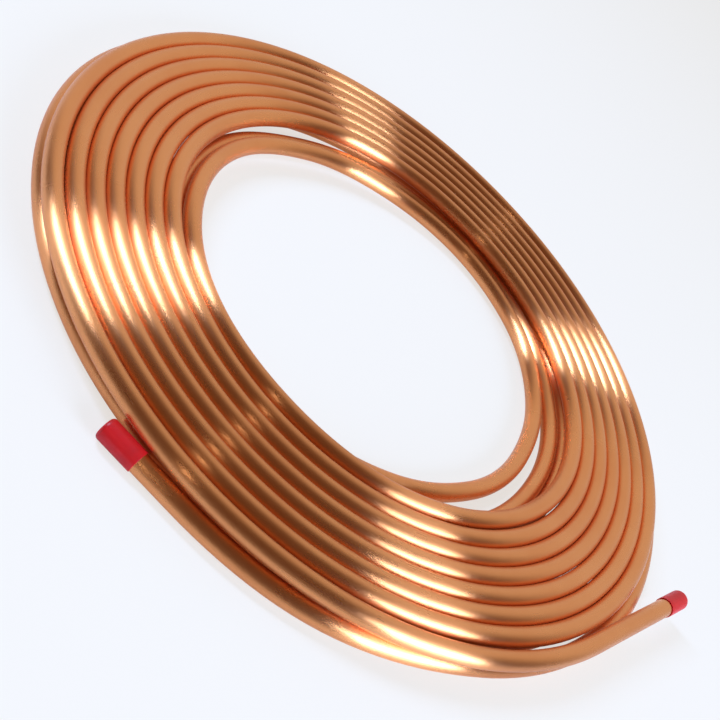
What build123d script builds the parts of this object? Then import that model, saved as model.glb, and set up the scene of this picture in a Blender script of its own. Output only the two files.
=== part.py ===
"""Double-layer pancake coil of soft copper tube, lying flat, with a push-on plastic cap on each end.

The tube starts on the floor at the near side and winds inward as the lower layer. Its last turns
lie loose, then it climbs to the upper layer and winds outward to a straight tail at the right.
Each half turn is one turned piece of tube between two crossings of the X axis. Neighbouring half
turns share a face and a direction, so together they are one solid round the coil's eye.
+Z is up, the floor is Z = 0 and the Z axis runs through the middle of the upper layer.
"""
import os
from math import asin, cos, degrees, pi, radians, sin
from build123d import *

# Tube stock
tube_od = 9.525
tube_wall = 0.813

# Layers
layer_gap = 0.1

# Lower layer: its outermost turn on the X axis, its packed turns and the gaps between them.
# The last packed turn swings away from its neighbour at the right
lower_outer_right = 192.4
lower_outer_left = 197.2
lower_packed_turns = 6
lower_gap_right = 1.15
lower_gap_left = 0.15
lower_gap_last_right = 11.8

# Lower layer: the loose turns inside the packed ones, and the gap outside each on the X axis
middle_loop_gap_right = 0.25
middle_loop_gap_left = 13.2
inner_loop_gap_right = 7.4

# Upper layer: how far its outermost turn lies inside the lower layer's, its turns and their gaps
upper_inset_right = 7.2
upper_inset_left = 5.6
upper_turns = 7
upper_gap = 0.075
upper_gap_first_right = 0.5
climb_gap_left = 3.5

# Tails: where each turns straight, its straight run to the end of its cap, and its clearances
start_tail_bearing = 266.6
start_tail_straight = 24.8
start_cap_turn_gap = 0.2
start_cap_floor_gap = 0.2
start_bore_depth = 21.0
end_tail_turn_gap = 0.9
end_tail_bearing = 335.3
end_tail_straight = 92.2
end_bore_depth = 85.0

# Push-on caps
cap_clearance = 0.05
cap_wall = 0.45
cap_end_wall = 1.4
cap_length = 19.0
cap_corner = 1.8
cap_lip_round = 0.2

# Bearings of the two sides of the X axis, counter-clockwise seen from above
left_bearing = 180
right_bearing = 360

# Values that follow from the sizes above
tube_radius = tube_od / 2
bore_radius = tube_radius - tube_wall
cap_bore_radius = tube_radius + cap_clearance
cap_radius = cap_bore_radius + cap_wall
lower_height = tube_radius
upper_height = lower_height + tube_od + layer_gap
near_turn_radius = (lower_outer_left + lower_outer_right - tube_od - lower_gap_right) / 2
start_tail_radius = near_turn_radius + tube_radius + cap_radius + start_cap_turn_gap
start_tail_spread = start_tail_radius - lower_outer_right
start_tail_rise = cap_radius + start_cap_floor_gap - lower_height
start_tail_lean = degrees(asin(start_tail_rise / start_tail_radius))


def lower_crossings():
    """The lower layer's crossings of the X axis, from the outermost turn inward, as (x, height)."""
    crossings = []
    for turn in range(lower_packed_turns):
        crossings.append((lower_outer_right - turn * (tube_od + lower_gap_right), lower_height))
        crossings.append((turn * (tube_od + lower_gap_left) - lower_outer_left, lower_height))
    last_right = crossings[-4][0] - tube_od - lower_gap_last_right
    last_left = crossings[-1][0]
    crossings[-2] = (last_right, lower_height)
    middle_right = last_right - tube_od - middle_loop_gap_right
    middle_left = last_left + tube_od + middle_loop_gap_left
    inner_right = middle_right - tube_od - inner_loop_gap_right
    return crossings + [
        (middle_right, lower_height),
        (middle_left, lower_height),
        (inner_right, lower_height),
    ]


def upper_crossings():
    """The upper layer's crossings of the X axis, from the climb to the outermost turn."""
    crossings = []
    for turn in range(upper_turns - 1):
        step = turn * (tube_od + upper_gap)
        crossings.append((upper_inset_left + step - lower_outer_left, upper_height))
        crossings.append((lower_outer_right - upper_inset_right - step, upper_height))
    first_right = crossings[-1][0] - tube_od - upper_gap_first_right
    first_left = crossings[-2][0] + tube_od + upper_gap
    climb_end = first_left + tube_od + climb_gap_left
    crossings += [(first_left, upper_height), (first_right, upper_height), (climb_end, upper_height)]
    return crossings[::-1]


def half_turn(start, end):
    """A half turn of tube between two crossings, as one arc about its own centre.

    An arc from right to left goes round the far side, and one from left to right round the near
    side. Its plane leans about Y when the heights differ, so its ends still point along Y.
    """
    first = Vector(start[0], 0, start[1])
    last = Vector(end[0], 0, end[1])
    centre = (first + last) * 0.5
    outward = (first - last).normalized()
    forward = Vector(0, 1 if start[0] > 0 else -1, 0)
    with BuildPart() as turn:
        with BuildSketch(Plane(origin=first, x_dir=outward, z_dir=forward)):
            Circle(tube_radius)
        revolve(axis=Axis(centre, outward.cross(forward)), revolution_arc=180)
    return turn.part


def tail(arc_centre_x, arc_radius, arc_from, arc_to, straight, height, lean):
    """A tail of tube: an arc about a centre on the X axis, then a straight run along its tangent.

    Bearings are in degrees about that centre. The arc turns about an axis that leans about X, so
    that it rises towards the near side. Returns the tube and the plane at its free end, which
    looks out of the end.
    """
    centre = Vector(arc_centre_x, 0, height)
    sweep_angle = arc_to - arc_from
    forward = 1 if sweep_angle > 0 else -1
    turn_axis = Axis(centre, (0, sin(radians(lean)), cos(radians(lean))))
    radial = Vector(cos(radians(arc_from)), sin(radians(arc_from)), 0)
    tangent = Vector(-radial.Y, radial.X, 0) * forward
    start_plane = Plane(origin=centre + radial * arc_radius, x_dir=radial, z_dir=tangent)
    bend_plane = Plane(
        origin=centre + (radial * arc_radius).rotate(turn_axis, sweep_angle),
        x_dir=radial.rotate(turn_axis, sweep_angle),
        z_dir=tangent.rotate(turn_axis, sweep_angle),
    )
    with BuildPart() as tube:
        with BuildSketch(start_plane):
            Circle(tube_radius)
        revolve(axis=Axis(centre, turn_axis.direction * forward), revolution_arc=abs(sweep_angle))
        with BuildSketch(bend_plane):
            Circle(tube_radius)
        extrude(amount=straight)
    return tube.part, bend_plane.offset(straight)


def push_on_cap(tube_end_plane):
    """A plastic cup over a tube's end: the end sits on the cup's floor."""
    mouth = tube_end_plane.offset(cap_end_wall - cap_length)
    along = Axis(mouth.origin, mouth.z_dir)
    with BuildPart() as cap:
        with BuildSketch(mouth):
            Circle(cap_radius)
        extrude(amount=cap_length)
        fillet(cap.faces().sort_by(along)[-1].edges(), radius=cap_corner)
        fillet(cap.faces().sort_by(along)[0].edges(), radius=cap_lip_round)
        with BuildSketch(mouth):
            Circle(cap_bore_radius)
        extrude(amount=cap_length - cap_end_wall, mode=Mode.SUBTRACT)
    return cap.part


# The route on the X axis, from the start tail to the end tail
crossings = lower_crossings() + upper_crossings()
half_turns = [half_turn(start, end) for start, end in zip(crossings[:-1], crossings[1:])]

# Tails, each from its crossing to the end inside its cap
start_tail, start_end_plane = tail(
    arc_centre_x=-start_tail_spread,
    arc_radius=start_tail_radius,
    arc_from=right_bearing,
    arc_to=start_tail_bearing,
    straight=start_tail_straight - cap_end_wall,
    height=lower_height,
    lean=start_tail_lean,
)
end_tail_left = crossings[-1][0]
end_tail_right = crossings[-2][0] + tube_od + end_tail_turn_gap
end_tail_radius = (end_tail_right - end_tail_left) / 2
end_tail, end_end_plane = tail(
    arc_centre_x=(end_tail_right + end_tail_left) / 2,
    arc_radius=end_tail_radius,
    arc_from=left_bearing,
    arc_to=end_tail_bearing,
    straight=end_tail_straight - cap_end_wall,
    height=upper_height,
    lean=0,
)

# The whole tube in one piece, open at its two ends
with BuildPart() as copper_tube_coil:
    add([start_tail, *half_turns, end_tail])
    for end_plane, depth in ((start_end_plane, start_bore_depth), (end_end_plane, end_bore_depth)):
        with BuildSketch(end_plane):
            Circle(bore_radius)
        extrude(amount=-depth, mode=Mode.SUBTRACT)

start_cap = push_on_cap(start_end_plane)
end_cap = push_on_cap(end_end_plane)

# Length of tube on the coil, from the arcs and straight runs
tube_length = sum(pi * abs(end[0] - start[0]) / 2 for start, end in zip(crossings[:-1], crossings[1:]))
tube_length += start_tail_radius * radians(right_bearing - start_tail_bearing) + start_tail_straight
tube_length += end_tail_radius * radians(end_tail_bearing - left_bearing) + end_tail_straight
print(f"tube length {tube_length / 1000:.2f} m")

os.makedirs("parts", exist_ok=True)
copper_tube_coil.part.label = "copper_tube_coil"
export_step(copper_tube_coil.part, "parts/copper_tube_coil.step")
start_cap.label = "start_cap"
export_step(start_cap, "parts/start_cap.step")
end_cap.label = "end_cap"
export_step(end_cap, "parts/end_cap.step")
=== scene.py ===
from math import cos, pi, radians, sin, tau

import bpy
import numpy as np
from bpy.props import FloatProperty, FloatVectorProperty, IntProperty, PointerProperty
from bpy.types import Operator, Panel, PropertyGroup
from mathutils import Matrix, Vector


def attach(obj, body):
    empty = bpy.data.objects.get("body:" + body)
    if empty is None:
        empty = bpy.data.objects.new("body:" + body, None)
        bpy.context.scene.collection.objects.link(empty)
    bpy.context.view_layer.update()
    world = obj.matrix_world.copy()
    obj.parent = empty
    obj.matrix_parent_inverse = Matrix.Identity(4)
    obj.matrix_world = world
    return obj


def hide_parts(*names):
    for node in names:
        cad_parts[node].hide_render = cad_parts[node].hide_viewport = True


# The scene shows a flat coil of soft copper tube in two layers, with a red plastic cap on each end.
# The tube is one swept mesh: it starts under the near-left cap on the floor, winds inward as the
# lower layer, climbs over its own loose inner turns and winds outward as the upper layer to a
# straight tail at the right. +X is to the right, +Y is away from the camera and the floor is Z = 0.

bl_info = {
    "name": "Copper Tube Coil",
    "version": (1, 0, 0),
    "blender": (4, 5, 0),
    "location": "View3D > Sidebar > Copper Coil",
    "description": "Winds a two-layer coil of soft copper tube, caps its ends and lights it on a pale floor",
    "category": "Add Mesh",
}

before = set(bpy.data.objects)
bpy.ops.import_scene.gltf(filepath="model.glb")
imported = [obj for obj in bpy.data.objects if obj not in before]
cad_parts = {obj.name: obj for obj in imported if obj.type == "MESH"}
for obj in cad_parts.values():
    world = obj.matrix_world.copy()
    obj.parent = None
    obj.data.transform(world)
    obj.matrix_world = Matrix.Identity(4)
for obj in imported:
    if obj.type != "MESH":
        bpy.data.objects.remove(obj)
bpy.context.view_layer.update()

# Settings that many properties share
LENGTH = {"unit": "LENGTH", "precision": 5}
COLOUR = {"subtype": "COLOR", "size": 4}

# The route counts its passes in quarter turns from the right
QUARTER = pi / 2
QUARTERS_A_TURN = 4

# How much the patches and the streaks tarnish the copper, and how the caps' patches darken their red
PATCH_TARNISH = 0.45
STREAK_TARNISH = 0.35
CAP_PATCH_SHADE = (0.82, 0.8, 0.8)

# The floor's reach each way, its glow, and the share of the glow that the camera sees, and of that
# the share that the metal and the plastic reflect
FLOOR_REACH = 40.0
FLOOR_GLOW = (1, 0.985, 0.95, 1)
GLOW_SEEN = 0.7
GLOW_REFLECTED = 0.33

# Each lamp's power setting, place, size and colour. All of them face the middle of the coil
LAMPS = {
    "left_lamp": ("left_power", (-1.32, 0, 1.37), (0.3, 0.9), (0.74, 1, 1.5)),
    "right_lamp": ("right_power", (1.655, -0.669, 0.65), (0.9, 1.2), (0.76, 1, 1.45)),
    "small_lamp": ("small_power", (-0.15, -1.1, 0.95), (0.04, 0.04), (1, 1, 1)),
}


class CoilTubeSizes(PropertyGroup):
    """Sizes of the copper tube itself."""

    diameter: FloatProperty(
        name="Diameter", description="Outside diameter of the tube", default=0.009525, **LENGTH
    )
    wall: FloatProperty(name="Wall", description="Wall thickness of the tube", default=0.000813, **LENGTH)
    bore_shown: FloatProperty(
        name="Bore Shown", description="How deep the bore is cut into each end", default=0.02, **LENGTH
    )
    sides: IntProperty(name="Sides", description="Faces around the tube", default=26, min=8)
    steps: IntProperty(
        name="Steps per Turn", description="Rings of faces along each turn", default=180, min=24
    )


class CoilLowerLayer(PropertyGroup):
    """Where the lower layer's turns pass."""

    outer_first: FloatProperty(
        name="Outer First",
        description="Radius at the right where the outermost turn begins",
        default=0.1942, **LENGTH
    )
    outer_far: FloatProperty(
        name="Outer Far", description="Radius of the outermost turn at the far side", default=0.1947, **LENGTH
    )
    outer_right: FloatProperty(
        name="Outer Right",
        description="Radius at the right that the packed turns are counted from",
        default=0.1923, **LENGTH
    )
    outer_left: FloatProperty(
        name="Outer Left", description="Radius of the outermost turn at the left", default=0.1971, **LENGTH
    )
    pitch_right: FloatProperty(
        name="Pitch Right", description="Spacing of the packed turns at the right", default=0.01298, **LENGTH
    )
    pitch_left: FloatProperty(
        name="Pitch Left", description="Spacing of the packed turns at the left", default=0.00954, **LENGTH
    )
    turns: IntProperty(name="Packed Turns", description="Packed turns of the lower layer", default=6, min=2)
    swell: FloatVectorProperty(
        name="Swell",
        description="How far the packed turns stand out at 45, 135, 225 and 315 degrees",
        size=4, **LENGTH, default=(0, 0, 0, -0.0006),
    )
    middle_loop: FloatVectorProperty(
        name="Middle Loop",
        description="Radius of the outer loose turn at every 30 degrees from the right",
        size=12, **LENGTH,
        default=(.1177, .1185, .1238, .1268, .126, .1243, .1283, .1275, .1238, .1184, .1104, .1045),
    )
    inner_loop: FloatVectorProperty(
        name="Inner Loop",
        description="Radius of the inner loose turn at every 30 degrees from the right",
        size=12, **LENGTH,
        default=(.103, .1068, .112, .1143, .1132, .1142, .1193, .1224, .1254, .1241, .1252, .1262),
    )
    climb: FloatVectorProperty(
        name="Climb",
        description="Share of the climb to the upper layer at every 30 degrees of the inner loop",
        size=12, default=(0, .1, .22, .25, .33, .6, .78, .92, 1, 1, 1, 1),
    )


class CoilUpperLayer(PropertyGroup):
    """Where the upper layer's turns pass."""

    first_right: FloatProperty(
        name="First Right", description="Radius of the innermost turn at the right", default=0.1272, **LENGTH
    )
    first_left: FloatProperty(
        name="First Left", description="Radius of the innermost turn at the left", default=0.134, **LENGTH
    )
    first_gap: FloatProperty(
        name="First Gap", description="Gap outside the innermost turn at the right", default=0.0001, **LENGTH
    )
    pitch: FloatProperty(name="Pitch", description="Spacing of the turns", default=0.0096, **LENGTH)
    turns: IntProperty(name="Turns", description="Turns of the upper layer", default=7, min=2)
    swell: FloatVectorProperty(
        name="Swell",
        description="How far the turns stand out at 45, 135, 225 and 315 degrees",
        size=4, **LENGTH, default=(0, 0.002, 0, 0),
    )
    last_far_slack: FloatProperty(
        name="Last Far Slack",
        description="How far the last turn stands off at the far side",
        default=0.0016, **LENGTH
    )
    height: FloatProperty(
        name="Height", description="Height of the upper turns' centre line", default=0.0143865, **LENGTH
    )


class CoilTails(PropertyGroup):
    """The two straight ends of the tube."""

    start_bearing: FloatProperty(
        name="Start Bearing",
        description="Where the start turns straight",
        default=radians(268.5), subtype="ANGLE",
    )
    start_radius: FloatProperty(
        name="Start Radius", description="Radius where the start turns straight", default=0.1994, **LENGTH
    )
    start_closing: FloatProperty(
        name="Start Closing",
        description="Radius lost for each radian of turn at the start",
        default=0.003, **LENGTH
    )
    start_held: FloatProperty(
        name="Start Held", description="Radius of the start's arc at 285 degrees", default=0.1987, **LENGTH
    )
    start_tucked: FloatProperty(
        name="Start Tucked", description="Radius of the start's arc at 315 degrees", default=0.1938, **LENGTH
    )
    start_lift: FloatProperty(
        name="Start Lift",
        description="How far the cap lifts the start off the floor",
        default=0.0007, **LENGTH
    )
    start_run: FloatProperty(
        name="Start Run", description="Straight length at the start", default=0.0385, **LENGTH
    )
    end_near: FloatProperty(
        name="End Near", description="Radius of the last pass at the near side", default=0.1941, **LENGTH
    )
    end_bearing: FloatProperty(
        name="End Bearing",
        description="Where the end turns straight",
        default=radians(335.55), subtype="ANGLE",
    )
    end_radius: FloatProperty(
        name="End Radius", description="Radius where the end turns straight", default=0.19544, **LENGTH
    )
    end_opening: FloatProperty(
        name="End Opening",
        description="Radius gained for each radian of turn at the end",
        default=0.00084, **LENGTH
    )
    end_run: FloatProperty(
        name="End Run", description="Straight length at the end", default=0.0908, **LENGTH
    )


class CoilCapSizes(PropertyGroup):
    """Sizes of the push-on caps."""

    clearance: FloatProperty(name="Clearance", description="Play around the tube", default=0.00005, **LENGTH)
    wall: FloatProperty(name="Wall", description="Wall thickness", default=0.00045, **LENGTH)
    end_wall: FloatProperty(
        name="End Wall", description="Thickness of the closed end", default=0.0014, **LENGTH
    )
    length: FloatProperty(name="Length", description="Length over all", default=0.019, **LENGTH)
    corner: FloatProperty(name="Corner", description="Rounding of the closed end", default=0.0018, **LENGTH)
    sides: IntProperty(name="Sides", description="Faces around each cap", default=96, min=16)


class CoilFinish(PropertyGroup):
    """Colours and finishes."""

    copper: FloatVectorProperty(
        name="Copper", description="Colour of clean copper", default=(0.95, 0.4, 0.15, 1), **COLOUR
    )
    tarnish: FloatVectorProperty(
        name="Tarnish", description="Colour of slightly dulled copper", default=(0.88, 0.31, 0.1, 1), **COLOUR
    )
    cap: FloatVectorProperty(
        name="Cap", description="Colour of the caps", default=(0.76, 0.012, 0.014, 1), **COLOUR
    )
    floor: FloatVectorProperty(
        name="Floor", description="Colour of the floor", default=(0.86, 0.86, 0.86, 1), **COLOUR
    )


class CoilStudio(PropertyGroup):
    """Lamps and camera."""

    left_power: FloatProperty(
        name="Left Power", description="Power of the left lamp", default=21.0, unit="POWER"
    )
    right_power: FloatProperty(
        name="Right Power", description="Power of the right lamp", default=34.0, unit="POWER"
    )
    small_power: FloatProperty(
        name="Small Power", description="Power of the small lamp over the camera", default=0.25, unit="POWER"
    )
    near_side: FloatVectorProperty(
        name="Near Side",
        description="Colour of the room behind the camera",
        default=(0.12, 0.075, 0.05, 1), **COLOUR
    )
    far_side: FloatVectorProperty(
        name="Far Side",
        description="Colour of the room beyond the coil",
        default=(0.66, 0.66, 0.66, 1), **COLOUR
    )
    camera_place: FloatVectorProperty(
        name="Camera Place",
        description="Where the camera stands",
        default=(0, -0.4869, 0.3122), subtype="XYZ",
    )
    camera_yaw: FloatProperty(
        name="Camera Yaw", description="Turn of the camera towards the right", default=0.013, subtype="ANGLE"
    )
    camera_dip: FloatProperty(
        name="Camera Dip", description="How far the camera looks down", default=0.6062, subtype="ANGLE"
    )
    camera_roll: FloatProperty(
        name="Camera Roll", description="Roll of the picture", default=radians(46.7) - 0.0028, subtype="ANGLE"
    )
    camera_lens: FloatProperty(
        name="Camera Lens", description="Focal length in millimetres", default=53.81, precision=2
    )


SETTINGS = {
    "coil_tube": CoilTubeSizes,
    "coil_lower": CoilLowerLayer,
    "coil_upper": CoilUpperLayer,
    "coil_tails": CoilTails,
    "coil_caps": CoilCapSizes,
    "coil_finish": CoilFinish,
    "coil_studio": CoilStudio,
}


# Route of the tube

def mean(a, b):
    return (a + b) / 2


def lower_stations(lower):
    """The lower layer's passes, as (quarter turn, radius, share of the climb), from the outside in.

    The packed turns pass eight places a turn, and the two loose ones twelve.
    """
    right = [lower.outer_right - turn * lower.pitch_right for turn in range(lower.turns)]
    left = [lower.outer_left - turn * lower.pitch_left for turn in range(lower.turns)]
    right.append(lower.middle_loop[0])
    far = [mean(*sides) for sides in zip(right, left)]
    near = [mean(*sides) for sides in zip(left, right[1:])]
    right[0], far[0] = lower.outer_first, lower.outer_far
    stations = turn_stations(right, far, left, near, lower.swell, first=0, climb=0)
    loose = [(radius, 0) for radius in lower.middle_loop] + list(zip(lower.inner_loop, lower.climb))
    first = QUARTERS_A_TURN * lower.turns
    return stations + [(first + place / 3, radius, climb) for place, (radius, climb) in enumerate(loose)]


def turn_stations(right, far, left, near, swell, first, climb):
    """Eight passes for each turn: its four sides, and the places halfway between them."""
    sides = [radius for turn in zip(right, far, left, near) for radius in turn] + [right[-1]]
    stations = []
    for place, (radius, after) in enumerate(zip(sides, sides[1:])):
        halfway = mean(radius, after) + swell[place % 4]
        stations += [(first + place, radius, climb), (first + place + 0.5, halfway, climb)]
    return stations


def upper_stations(upper, tails, first):
    """The upper layer's passes, as (quarter turn, radius, share of the climb), from the inside out."""
    second_right = upper.first_right + upper.pitch + upper.first_gap
    right = [upper.first_right] + [second_right + turn * upper.pitch for turn in range(upper.turns - 1)]
    left = [upper.first_left + turn * upper.pitch for turn in range(upper.turns)]
    far = [mean(*sides) for sides in zip(right, left)]
    far[-1] += upper.last_far_slack
    near = [mean(*sides) for sides in zip(left, right[1:])] + [tails.end_near]
    stations = turn_stations(right, far, left, near, upper.swell, first, climb=1)[:-1]
    end_quarter = first + QUARTERS_A_TURN * (upper.turns - 1) + tails.end_bearing / QUARTER
    return stations + [(end_quarter, tails.end_radius, 1)]


def smooth_through(places, values, at, start_slope=0.0, end_slope=0.0):
    """A curve through the values that never overshoots between them, read at many places."""
    step = np.diff(places)
    rise = np.diff(values) / step
    slope = np.zeros(len(values))
    same_way = rise[:-1] * rise[1:] > 0
    harmonic = 2 * rise[:-1] * rise[1:] / np.where(same_way, rise[:-1] + rise[1:], 1)
    slope[1:-1] = np.where(same_way, harmonic, 0)
    slope[0], slope[-1] = start_slope, end_slope
    span = np.clip(np.searchsorted(places, at, side="right") - 1, 0, len(step) - 1)
    t = (at - places[span]) / step[span]
    return (
        (1 + 2 * t) * (1 - t) ** 2 * values[span]
        + t * (1 - t) ** 2 * step[span] * slope[span]
        + t * t * (3 - 2 * t) * values[span + 1]
        + t * t * (t - 1) * step[span] * slope[span + 1]
    )


def tube_route(settings):
    """The centre line of the whole tube, from the end in the start cap to the end in the other."""
    tube, lower = settings["coil_tube"], settings["coil_lower"]
    upper, tails = settings["coil_upper"], settings["coil_tails"]
    floor_height = tube.diameter / 2
    start_quarter = tails.start_bearing / QUARTER - QUARTERS_A_TURN
    held_quarter, tucked_quarter = -5 / 6, -1 / 2
    lift = tails.start_lift / (upper.height - floor_height)
    stations = [
        (start_quarter, tails.start_radius, lift),
        (held_quarter, tails.start_held, lift / 2),
        (tucked_quarter, tails.start_tucked, 0),
    ]
    stations += lower_stations(lower)
    loose_turns = 2
    stations += upper_stations(upper, tails, QUARTERS_A_TURN * (lower.turns + loose_turns))
    quarters, radii, climbs = np.array(stations).T
    steps = int((quarters[-1] - quarters[0]) * tube.steps / QUARTERS_A_TURN)
    at = np.linspace(quarters[0], quarters[-1], steps)
    radius = smooth_through(
        quarters, radii, at,
        start_slope=-tails.start_closing * QUARTER, end_slope=tails.end_opening * QUARTER,
    )
    climb = smooth_through(quarters, climbs, at)
    bearing = at * QUARTER
    height = floor_height + climb * (upper.height - floor_height)
    turns = np.stack([radius * np.cos(bearing), radius * np.sin(bearing), height], axis=1)
    return np.concatenate([
        straight_run(*turns[2::-1], tails.start_run)[::-1],
        turns,
        straight_run(*turns[-3:], tails.end_run),
    ])


def straight_run(before, previous, last, length, spacing=0.006):
    """Points along a level straight run that carries on from a curve's last three points."""
    along = (3 * last - 4 * previous + before) * (1, 1, 0)
    along = along / np.linalg.norm(along)
    count = max(2, round(length / spacing))
    return last + along * (np.arange(1, count + 1) * length / count)[:, None]


# Meshes

def new_mesh_object(name, vertices, faces):
    mesh = bpy.data.meshes.new(name)
    mesh.from_pydata(vertices, [], faces)
    mesh.validate()
    mesh.shade_smooth()
    piece = bpy.data.objects.new(name, mesh)
    bpy.context.scene.collection.objects.link(piece)
    return piece


def ring_faces(rings, sides):
    """Quads between neighbouring rings, and a fan's triangles from the point at each end."""
    faces = []
    for ring in range(rings - 1):
        low, high = ring * sides, (ring + 1) * sides
        for side in range(sides):
            after = (side + 1) % sides
            faces.append((low + side, low + after, high + after, high + side))
    first_point = rings * sides
    last = (rings - 1) * sides
    for side in range(sides):
        after = (side + 1) % sides
        faces.append((first_point, after, side))
        faces.append((first_point + 1, last + side, last + after))
    return faces


def swept_tube(name, route, tube):
    """A closed tube along the route, bored a little way into both of its ends."""
    tangent = np.gradient(route, axis=0)
    tangent /= np.linalg.norm(tangent, axis=1)[:, None]
    run = np.concatenate([[0], np.cumsum(np.linalg.norm(np.diff(route, axis=0), axis=1))])
    radius = tube.diameter / 2
    bore = radius - tube.wall
    start_back = route[0] + tangent[0] * tube.bore_shown
    end_back = route[-1] - tangent[-1] * tube.bore_shown
    centres = np.concatenate([[start_back, route[0]], route, [route[-1], end_back]])
    tangents = np.concatenate([tangent[[0, 0]], tangent, tangent[[-1, -1]]])
    runs = np.concatenate([[tube.bore_shown, 0], run, [run[-1], run[-1] - tube.bore_shown]])
    radii = np.concatenate([[bore, bore], np.full(len(route), radius), [bore, bore]])
    sideways = np.cross(tangents, (0, 0, 1))
    sideways /= np.linalg.norm(sideways, axis=1)[:, None]
    upward = np.cross(sideways, tangents)
    angle = np.arange(tube.sides) * tau / tube.sides
    across = np.stack([np.cos(angle), np.sin(angle)], axis=1)
    offset = across[None, :, 0, None] * sideways[:, None] + across[None, :, 1, None] * upward[:, None]
    rings = centres[:, None] + radii[:, None, None] * offset
    vertices = np.concatenate([rings.reshape(-1, 3), [start_back, end_back]])
    piece = new_mesh_object(name, vertices.tolist(), ring_faces(len(centres), tube.sides))
    # Where each vertex would be if the tube were straight, for marks that run along the tube
    straightened = np.concatenate([
        np.stack([
            (radii[:, None] * across[None, :, 0]).ravel(),
            (radii[:, None] * across[None, :, 1]).ravel(),
            np.repeat(runs, tube.sides),
        ], axis=1),
        [(0, 0, runs[0]), (0, 0, runs[-1])],
    ])
    place = piece.data.attributes.new("tube_place", "FLOAT_VECTOR", "POINT")
    place.data.foreach_set("vector", straightened.astype(np.float32).ravel())
    unroll(piece, runs, tube.sides)
    mark_sharp(piece)
    return piece


def unroll(piece, runs, sides):
    """A UV map whose U runs along the tube and whose V goes round it, in the order of ring_faces."""
    low, high = np.repeat(runs[:-1], sides), np.repeat(runs[1:], sides)
    side = np.tile(np.arange(sides), len(runs) - 1) / sides
    after = side + 1 / sides
    walls = np.stack([low, side, low, after, high, after, high, side], axis=1).ravel()
    side = np.arange(sides) / sides
    after = side + 1 / sides
    middle = side + 0.5 / sides
    first, last = np.full(sides, runs[0]), np.full(sides, runs[-1])
    fan_depth = 0.001
    start_fan = [first - fan_depth, middle, first, after, first, side]
    end_fan = [last + fan_depth, middle, last, side, last, after]
    fans = np.stack(start_fan + end_fan, axis=1).ravel()
    unrolled = piece.data.uv_layers.new(name="tube_unrolled")
    unrolled.data.foreach_set("uv", np.concatenate([walls, fans]).astype(np.float32))


def mark_sharp(piece, limit=radians(40)):
    """Keeps the crease where faces meet at more than the limit."""
    piece.data.set_sharp_from_angle(angle=limit)


def arc_points(centre, radius, start, end, count):
    """Points of an arc in a profile, as (distance from the axis, place along it)."""
    return [
        (centre[0] + radius * cos(a), centre[1] + radius * sin(a))
        for a in (start + (end - start) * i / count for i in range(count + 1))
    ]


def cap_profile(cap, tube):
    """The cap's section from the middle of its floor inside to the middle of its closed end outside.

    The places along the bore and the barrel only keep the faces even.
    """
    bore = tube.diameter / 2 + cap.clearance
    outside = bore + cap.wall
    lip = cap.wall / 2
    floor = cap.length - cap.end_wall
    inside = [(bore * 0.5, floor), (bore - lip, floor), (bore, floor - lip)]
    inside += [(bore, floor * share) for share in (0.75, 0.5, 0.25)]
    mouth = arc_points((bore + lip, lip), lip, pi, tau, count=8)
    barrel = [(outside, cap.length * share) for share in (0.2, 0.4, 0.6, 0.8)]
    corner_centre = (outside - cap.corner, cap.length - cap.corner)
    shoulder = arc_points(corner_centre, cap.corner, 0, pi / 2, count=10)
    return inside + mouth + barrel + shoulder + [((outside - cap.corner) / 2, cap.length)]


def turned_piece(name, profile, base, axis, sides):
    """A closed piece turned from a profile whose ends lie near the axis."""
    axis = Vector(axis).normalized()
    across = axis.orthogonal().normalized()
    other = axis.cross(across)
    vertices = []
    for distance, along in profile:
        for side in range(sides):
            angle = tau * side / sides
            out = across * cos(angle) + other * sin(angle)
            vertices.append(base + axis * along + out * distance)
    vertices.append(base + axis * profile[0][1])
    vertices.append(base + axis * profile[-1][1])
    return new_mesh_object(name, vertices, ring_faces(len(profile), sides))


# Materials

def add_node(tree, kind, place, inputs=None, **settings):
    node = tree.nodes.new(kind)
    node.location = place
    for name, value in settings.items():
        setattr(node, name, value)
    for name, value in (inputs or {}).items():
        node.inputs[name].default_value = value
    return node


def new_group(name, inputs, outputs):
    """A shader node group with its own named sockets, and its input and output nodes."""
    group = bpy.data.node_groups.new(name, "ShaderNodeTree")
    for label, kind, default in inputs:
        socket = group.interface.new_socket(label, in_out="INPUT", socket_type=kind)
        if default is not None:
            socket.default_value = default
    for label, kind in outputs:
        group.interface.new_socket(label, in_out="OUTPUT", socket_type=kind)
    start = add_node(group, "NodeGroupInput", (-800, 0))
    end = add_node(group, "NodeGroupOutput", (800, 0))
    return group, start, end


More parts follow.
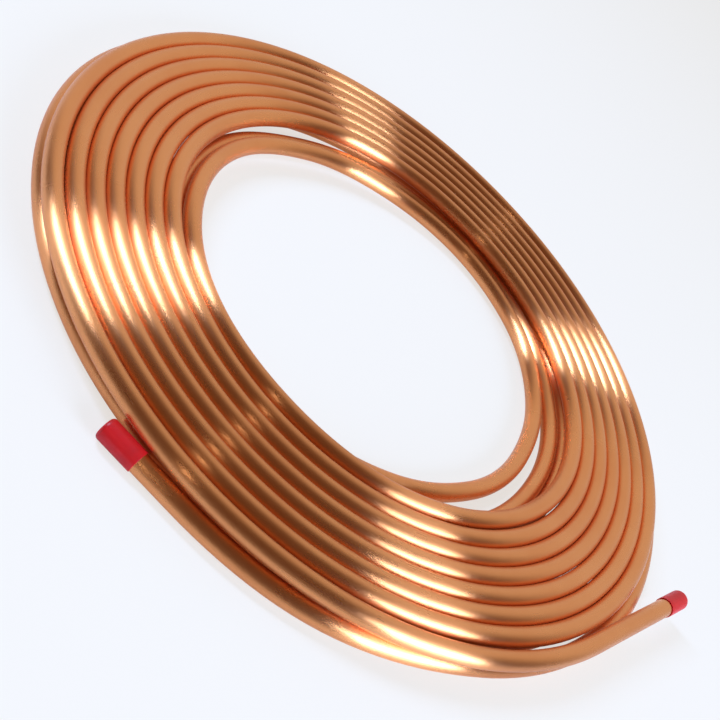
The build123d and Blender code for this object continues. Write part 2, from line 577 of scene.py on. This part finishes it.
def mottle_group():
    """Soft patches with a little fine variation, as on anything handled or moulded."""
    group, start, end = new_group(
        "Surface Mottle",
        [
            ("Place", "NodeSocketVector", None),
            ("Patch Scale", "NodeSocketFloat", 20.0),
            ("Low", "NodeSocketFloat", 0.35),
            ("High", "NodeSocketFloat", 0.65),
            ("Grain Scale", "NodeSocketFloat", 900.0),
        ],
        [("Patches", "NodeSocketFloat"), ("Grain", "NodeSocketFloat")],
    )
    patch = add_node(group, "ShaderNodeTexNoise", (-450, 150), {"Detail": 4.0, "Roughness": 0.55})
    spread = add_node(group, "ShaderNodeMapRange", (0, 150))
    grain = add_node(group, "ShaderNodeTexNoise", (-450, -200), {"Detail": 2.0, "Roughness": 0.5})
    links = group.links
    links.new(start.outputs["Place"], patch.inputs["Vector"])
    links.new(start.outputs["Patch Scale"], patch.inputs["Scale"])
    links.new(patch.outputs["Fac"], spread.inputs["Value"])
    links.new(start.outputs["Low"], spread.inputs["From Min"])
    links.new(start.outputs["High"], spread.inputs["From Max"])
    links.new(spread.outputs["Result"], end.inputs["Patches"])
    links.new(start.outputs["Place"], grain.inputs["Vector"])
    links.new(start.outputs["Grain Scale"], grain.inputs["Scale"])
    links.new(grain.outputs["Fac"], end.inputs["Grain"])
    return group


def drawn_lines_group():
    """Fine lines along the tube, left by drawing it, with longer soft streaks among them."""
    group, start, end = new_group(
        "Drawn Lines",
        [
            ("Tube Place", "NodeSocketVector", None),
            ("Line Scale", "NodeSocketFloat", 2500.0),
            ("Streak Scale", "NodeSocketFloat", 500.0),
        ],
        [("Lines", "NodeSocketFloat"), ("Streaks", "NodeSocketFloat")],
    )
    long_lines = add_node(group, "ShaderNodeMapping", (-500, 150), {"Scale": (1, 1, 0.006)})
    lines = add_node(group, "ShaderNodeTexNoise", (-200, 150), {"Detail": 2.0, "Roughness": 0.6})
    long_streaks = add_node(group, "ShaderNodeMapping", (-500, -200), {"Scale": (1, 1, 0.02)})
    streaks = add_node(group, "ShaderNodeTexNoise", (-200, -200), {"Detail": 3.0, "Roughness": 0.55})
    links = group.links
    for mapping, texture, scale, output in (
        (long_lines, lines, "Line Scale", "Lines"),
        (long_streaks, streaks, "Streak Scale", "Streaks"),
    ):
        links.new(start.outputs["Tube Place"], mapping.inputs["Vector"])
        links.new(mapping.outputs["Vector"], texture.inputs["Vector"])
        links.new(start.outputs[scale], texture.inputs["Scale"])
        links.new(texture.outputs["Fac"], end.inputs[output])
    return group


def add_group(tree, name, maker, place, inputs):
    group = bpy.data.node_groups.get(name) or maker()
    return add_node(tree, "ShaderNodeGroup", place, inputs, node_tree=group)


def new_material(name, **shader_inputs):
    """A material with a Principled shader, whose given sockets hold plain values."""
    material = bpy.data.materials.new(name)
    material.use_nodes = True
    shader = material.node_tree.nodes["Principled BSDF"]
    for label, value in shader_inputs.items():
        shader.inputs[label.replace("_", " ")].default_value = value
    return material, material.node_tree, shader


def copper_material(finish):
    """Drawn copper: fine lines along the tube stretch its highlights, and tarnish dulls it in patches."""
    material, tree, shader = new_material(
        "drawn_copper", Metallic=1.0, Anisotropic=1.0, Anisotropic_Rotation=0.25,
        Coat_Weight=0.08, Coat_Roughness=0.35,
    )
    links = tree.links
    object_place = add_node(tree, "ShaderNodeTexCoord", (-1200, 200))
    tube_place = add_node(tree, "ShaderNodeAttribute", (-1200, -200), attribute_name="tube_place")
    mottle = add_group(
        tree, "Surface Mottle", mottle_group, (-900, 200),
        {"Patch Scale": 22.0, "Low": 0.4, "High": 0.7, "Grain Scale": 700.0},
    )
    drawn = add_group(tree, "Drawn Lines", drawn_lines_group, (-900, -200), {})
    links.new(object_place.outputs["Object"], mottle.inputs["Place"])
    links.new(tube_place.outputs["Vector"], drawn.inputs["Tube Place"])
    dulled = add_node(tree, "ShaderNodeMath", (-650, 250), {1: PATCH_TARNISH}, operation="MULTIPLY")
    streaked = add_node(tree, "ShaderNodeMath", (-450, 250), {1: STREAK_TARNISH}, operation="MULTIPLY_ADD")
    colour = add_node(
        tree, "ShaderNodeMix", (-250, 300), {"A": finish.copper, "B": finish.tarnish}, data_type="RGBA"
    )
    links.new(mottle.outputs["Patches"], dulled.inputs[0])
    links.new(drawn.outputs["Streaks"], streaked.inputs[0])
    links.new(dulled.outputs["Value"], streaked.inputs[2])
    links.new(streaked.outputs["Value"], colour.inputs["Factor"])
    links.new(colour.outputs["Result"], shader.inputs["Base Color"])
    gloss = add_node(tree, "ShaderNodeMapRange", (-250, 0), {"To Min": 0.26, "To Max": 0.31})
    links.new(streaked.outputs["Value"], gloss.inputs["Value"])
    links.new(gloss.outputs["Result"], shader.inputs["Roughness"])
    bump = add_node(tree, "ShaderNodeBump", (-250, -300), {"Strength": 0.012, "Distance": 0.0001})
    links.new(drawn.outputs["Lines"], bump.inputs["Height"])
    links.new(bump.outputs["Normal"], shader.inputs["Normal"])
    # The drawn lines spread highlights round the tube
    along = add_node(tree, "ShaderNodeTangent", (-250, -500), direction_type="UV_MAP", uv_map="tube_unrolled")
    links.new(along.outputs["Tangent"], shader.inputs["Tangent"])
    return material


def cap_material(finish):
    """Soft red plastic with faint patches and a fine grain."""
    material, tree, shader = new_material("cap_red_plastic", Specular_IOR_Level=0.35)
    links = tree.links
    place = add_node(tree, "ShaderNodeTexCoord", (-1000, 0))
    mottle = add_group(
        tree, "Surface Mottle", mottle_group, (-800, 0),
        {"Patch Scale": 180.0, "Low": 0.3, "High": 0.75, "Grain Scale": 2600.0},
    )
    links.new(place.outputs["Object"], mottle.inputs["Place"])
    darker = [part * share for part, share in zip(finish.cap, CAP_PATCH_SHADE)] + [1]
    colour = add_node(tree, "ShaderNodeMix", (-400, 150), {"A": finish.cap, "B": darker}, data_type="RGBA")
    gloss = add_node(tree, "ShaderNodeMapRange", (-400, -100), {"To Min": 0.34, "To Max": 0.48})
    bump = add_node(tree, "ShaderNodeBump", (-400, -350), {"Strength": 0.15, "Distance": 0.00008})
    links.new(mottle.outputs["Patches"], colour.inputs["Factor"])
    links.new(colour.outputs["Result"], shader.inputs["Base Color"])
    links.new(mottle.outputs["Patches"], gloss.inputs["Value"])
    links.new(gloss.outputs["Result"], shader.inputs["Roughness"])
    links.new(mottle.outputs["Grain"], bump.inputs["Height"])
    links.new(bump.outputs["Normal"], shader.inputs["Normal"])
    return material


def floor_material(finish):
    """A pale floor that takes shadows, and that the camera and the metal see a little lifted."""
    material = bpy.data.materials.new("pale_floor")
    material.use_nodes = True
    tree = material.node_tree
    tree.nodes.clear()
    surface = add_node(tree, "ShaderNodeBsdfDiffuse", (-200, 200), {"Color": finish.floor})
    glow = add_node(tree, "ShaderNodeEmission", (-200, 0), {"Color": FLOOR_GLOW, "Strength": 1.0})
    path = add_node(tree, "ShaderNodeLightPath", (-1050, 0))
    glossy = add_node(tree, "ShaderNodeMath", (-850, -150), operation="MAXIMUM")
    reflected = add_node(tree, "ShaderNodeMath", (-700, -150), {1: GLOW_REFLECTED}, operation="MULTIPLY")
    seen = add_node(tree, "ShaderNodeMath", (-550, 0), operation="MAXIMUM")
    share = add_node(tree, "ShaderNodeMath", (-400, 0), {1: GLOW_SEEN}, operation="MULTIPLY")
    mix = add_node(tree, "ShaderNodeMixShader", (0, 100))
    output = add_node(tree, "ShaderNodeOutputMaterial", (200, 100))
    links = tree.links
    links.new(path.outputs["Is Camera Ray"], seen.inputs[0])
    links.new(path.outputs["Is Glossy Ray"], glossy.inputs[0])
    links.new(path.outputs["Is Transmission Ray"], glossy.inputs[1])
    links.new(glossy.outputs["Value"], reflected.inputs[0])
    links.new(reflected.outputs["Value"], seen.inputs[1])
    links.new(seen.outputs["Value"], share.inputs[0])
    links.new(share.outputs["Value"], mix.inputs["Fac"])
    links.new(surface.outputs["BSDF"], mix.inputs[1])
    links.new(glow.outputs["Emission"], mix.inputs[2])
    links.new(mix.outputs["Shader"], output.inputs["Surface"])
    return material


# Operators

def scene_settings():
    return {name: getattr(bpy.context.scene, name) for name in SETTINGS}


class COIL_OT_wind_tube(Operator):
    """Wind the copper tube into its two layers, with both tails"""

    bl_idname = "coil.wind_tube"
    bl_label = "Wind Tube"

    def execute(self, context):
        settings = scene_settings()
        piece = swept_tube("wound_tube", tube_route(settings), settings["coil_tube"])
        piece.data.materials.append(copper_material(settings["coil_finish"]))
        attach(piece, "root")
        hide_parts("copper_tube_coil")
        return {"FINISHED"}


class COIL_OT_fit_caps(Operator):
    """Push a moulded cap on each end of the tube"""

    bl_idname = "coil.fit_caps"
    bl_label = "Fit Caps"

    def execute(self, context):
        settings = scene_settings()
        tube, cap = settings["coil_tube"], settings["coil_caps"]
        route = tube_route(settings)
        material = cap_material(settings["coil_finish"])
        profile = cap_profile(cap, tube)
        for node, tip, before in (("start_cap", route[0], route[1]), ("end_cap", route[-1], route[-2])):
            axis = Vector(tip - before).normalized()
            mouth = Vector(tip) + axis * (cap.end_wall - cap.length)
            piece = turned_piece("moulded_" + node, profile, mouth, axis, cap.sides)
            mark_sharp(piece)
            piece.data.materials.append(material)
            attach(piece, "root")
            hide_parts(node)
        return {"FINISHED"}


def add_lamp(name, power, place, size, colour):
    """A soft rectangular lamp that faces the middle of the coil."""
    lamp = bpy.data.lights.new(name, "AREA")
    lamp.shape = "RECTANGLE"
    lamp.size, lamp.size_y = size
    lamp.energy = power
    lamp.color = colour
    holder = bpy.data.objects.new(name, lamp)
    bpy.context.scene.collection.objects.link(holder)
    holder.location = place
    holder.rotation_euler = (Vector((0, 0, 0)) - Vector(place)).to_track_quat("-Z", "Y").to_euler()


class COIL_OT_set_studio(Operator):
    """Lay the pale floor, place the lamps and stand the camera"""

    bl_idname = "coil.set_studio"
    bl_label = "Set Studio"

    def execute(self, context):
        settings = scene_settings()
        studio = settings["coil_studio"]
        corners = [(x * FLOOR_REACH, y * FLOOR_REACH, 0) for x, y in ((-1, -1), (1, -1), (1, 1), (-1, 1))]
        floor = new_mesh_object("studio_floor", corners, [(0, 1, 2, 3)])
        floor.data.materials.append(floor_material(settings["coil_finish"]))
        for name, (power, place, size, colour) in LAMPS.items():
            add_lamp(name, getattr(studio, power), place, size, colour)
        self.set_world(context, studio)
        self.set_camera(context, studio)
        context.scene.view_settings.view_transform = "Standard"
        return {"FINISHED"}

    def set_world(self, context, studio):
        """A pale room that grows dark and warm behind the camera."""
        world = bpy.data.worlds.new("studio_world")
        context.scene.world = world
        world.use_nodes = True
        tree = world.node_tree
        tree.nodes.clear()
        place = add_node(tree, "ShaderNodeTexCoord", (-600, 0))
        split = add_node(tree, "ShaderNodeSeparateXYZ", (-400, 0))
        depth = add_node(
            tree, "ShaderNodeMapRange", (-200, 0),
            {"From Min": 0.1, "From Max": 0.65}, interpolation_type="SMOOTHSTEP",
        )
        shade = add_node(
            tree, "ShaderNodeMix", (0, 0), {"A": studio.near_side, "B": studio.far_side}, data_type="RGBA"
        )
        room = add_node(tree, "ShaderNodeBackground", (200, 0))
        output = add_node(tree, "ShaderNodeOutputWorld", (400, 0))
        tree.links.new(place.outputs["Generated"], split.inputs["Vector"])
        tree.links.new(split.outputs["Y"], depth.inputs["Value"])
        tree.links.new(depth.outputs["Result"], shade.inputs["Factor"])
        tree.links.new(shade.outputs["Result"], room.inputs["Color"])
        tree.links.new(room.outputs["Background"], output.inputs["Surface"])

    def set_camera(self, context, studio):
        """A camera that looks down at the coil and is rolled about its own line of sight."""
        camera = bpy.data.cameras.new("studio_camera")
        camera.lens = studio.camera_lens
        holder = bpy.data.objects.new("studio_camera", camera)
        context.scene.collection.objects.link(holder)
        yaw, dip, roll = studio.camera_yaw, studio.camera_dip, studio.camera_roll
        ahead = Vector((sin(yaw) * cos(dip), cos(yaw) * cos(dip), -sin(dip)))
        level = ahead.cross(Vector((0, 0, 1))).normalized()
        turn = Matrix.Rotation(-roll, 3, ahead)
        right = turn @ level
        up = right.cross(ahead)
        axes = Matrix((right, up, -ahead)).transposed()
        holder.matrix_world = Matrix.Translation(studio.camera_place) @ axes.to_4x4()
        context.scene.camera = holder


class COIL_PT_panel(Panel):
    """The coil's operators and settings"""

    bl_idname = "COIL_PT_panel"
    bl_label = "Copper Tube Coil"
    bl_space_type = "VIEW_3D"
    bl_region_type = "UI"
    bl_category = "Copper Coil"

    def draw(self, context):
        for operator in OPERATORS:
            self.layout.operator(operator.bl_idname)
        for name, group in SETTINGS.items():
            box = self.layout.box()
            box.label(text=group.__doc__)
            for prop in group.__annotations__:
                box.prop(getattr(context.scene, name), prop)


OPERATORS = (COIL_OT_wind_tube, COIL_OT_fit_caps, COIL_OT_set_studio)
CLASSES = (*SETTINGS.values(), *OPERATORS, COIL_PT_panel)


def register():
    for item in CLASSES:
        bpy.utils.register_class(item)
    for name, group in SETTINGS.items():
        setattr(bpy.types.Scene, name, PointerProperty(type=group))


def unregister():
    for name in SETTINGS:
        delattr(bpy.types.Scene, name)
    for item in reversed(CLASSES):
        bpy.utils.unregister_class(item)


def main():
    register()
    bpy.ops.coil.wind_tube()
    bpy.ops.coil.fit_caps()
    bpy.ops.coil.set_studio()


if __name__ == "__main__":
    main()
